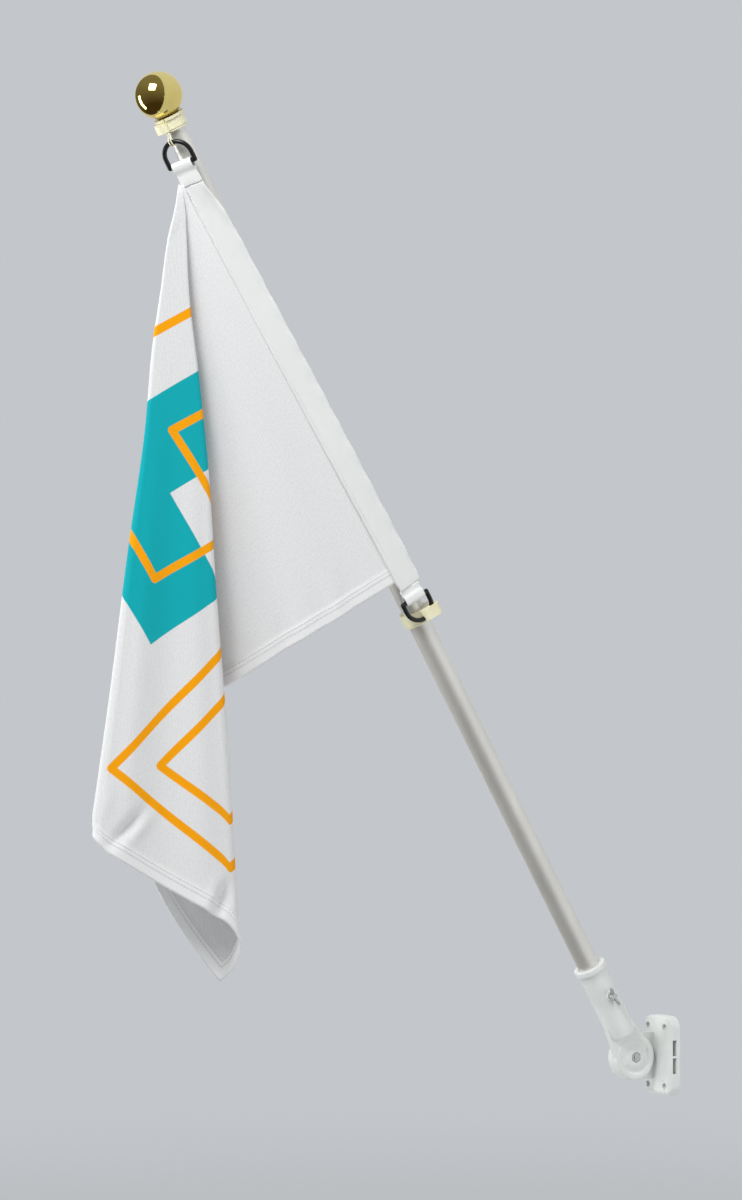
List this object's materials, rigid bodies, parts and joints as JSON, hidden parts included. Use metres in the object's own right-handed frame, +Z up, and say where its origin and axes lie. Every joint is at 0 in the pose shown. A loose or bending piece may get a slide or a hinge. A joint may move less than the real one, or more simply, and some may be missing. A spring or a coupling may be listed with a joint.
{
  "type": "wall-mounted flagpole",
  "caption": "Short two-piece flagpole in a tilting wall bracket, with a ball finial, two swivelling pole rings and a small flag hanging in folds.",
  "frame": {"origin": "centre of the bracket's flat wall face", "axes": "+Z up the wall, +X into the wall, so the pole leans out towards -X; the tilt axis lies along Y"},
  "size_m": [0.733, 0.0874, 1.1048],
  "materials": {
    "cast_white": "die-cast aluminium, white powder coat, semi-gloss",
    "zinc": "zinc-plated steel fasteners",
    "satin_aluminium": "drawn tube, satin silver anodised",
    "gold": "metallised gold, mirror gloss",
    "cream_plastic": "moulded nylon, cream",
    "black_plastic": "moulded acetal, black satin",
    "white_webbing": "woven polyester webbing, white",
    "flag_cloth": "knitted polyester with printed geometric bars"
  },
  "bodies": {
    "base": {"bracket_base": "cast_white", "pivot_bolt": "zinc", "pivot_washer": "zinc"},
    "arm": {"bracket_arm": "cast_white", "pivot_nut": "zinc", "pole_lower_tube": "satin_aluminium", "pole_upper_tube": "satin_aluminium", "finial_plug": "gold", "finial_ball": "gold", "upper_ring_sleeve": "cream_plastic", "lower_ring_sleeve": "cream_plastic"},
    "wing": {"wing_screw": "zinc"},
    "flag": {"upper_ring": "cream_plastic", "upper_ring_screw": "zinc", "upper_link": "cream_plastic", "upper_buckle": "black_plastic", "lower_ring": "cream_plastic", "lower_buckle": "black_plastic", "upper_tab": "white_webbing", "lower_tab": "white_webbing", "flag_header": "white_webbing", "flag_back_panel": "flag_cloth", "flag_middle_fold": "flag_cloth", "flag_inner_fold": "flag_cloth", "flag_fly_end": "flag_cloth", "flag_front_panel": "flag_cloth"}
  },
  "joints": [
    {"name": "bracket_tilt", "type": "hinge", "parent": "base", "child": "arm", "pos_m": [-0.045, 0, 0], "axis": [0, 1, 0], "range_deg": [-60, 30]},
    {"name": "wing_screw_turn", "type": "hinge", "parent": "arm", "child": "wing", "pos_m": [-0.0865, 0, 0.07188], "axis": [0, -1, 0], "range_deg": [0, 180]},
    {"name": "flag_swivel", "type": "hinge", "parent": "arm", "child": "flag", "pos_m": [-0.045, 0, 0], "axis": [-0.5, 0, 0.866], "range_deg": [-90, 90]}
  ]
}
